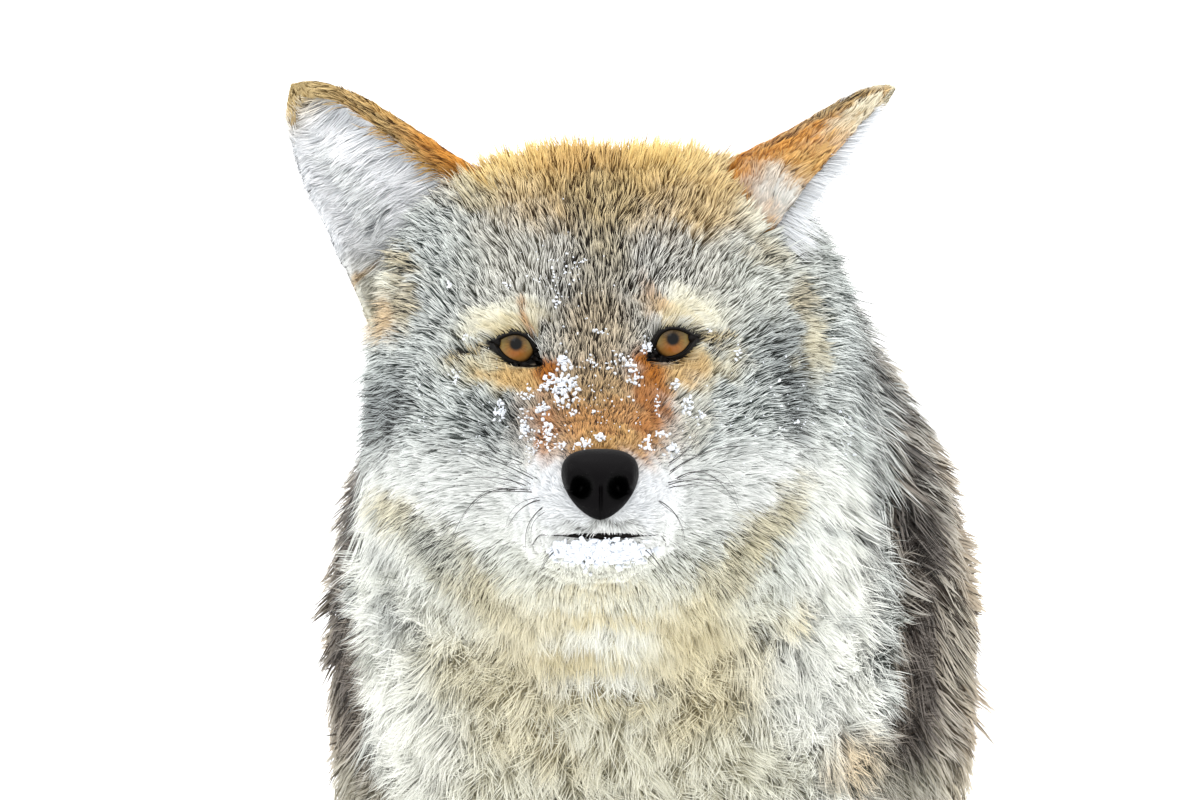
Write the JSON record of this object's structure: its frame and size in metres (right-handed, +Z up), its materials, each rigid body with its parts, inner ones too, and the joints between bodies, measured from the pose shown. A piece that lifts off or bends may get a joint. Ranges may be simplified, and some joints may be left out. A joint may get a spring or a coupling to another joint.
{
  "type": "coyote head and shoulders",
  "caption": "Still figure of a coyote's head and shoulders in thick winter fur, ears turned out, muzzle forward, cut off flat below the chest to stand upright.",
  "frame": {"origin": "in the flat cut that it stands on, under the midline of the head, 250 mm behind the eyes", "axes": "+Z up, -Y the way the muzzle points, +X the coyote's own left; metres"},
  "size_m": [0.3116, 0.531, 0.3264],
  "materials": {
    "winter_fur": "long grizzled guard hairs over woolly underfur, dusted with snow",
    "amber_eye": "wet and glossy"
  },
  "bodies": {
    "root": {"head_and_shoulders": "winter_fur", "left_eye": "amber_eye", "right_eye": "amber_eye"}
  },
  "joints": []
}
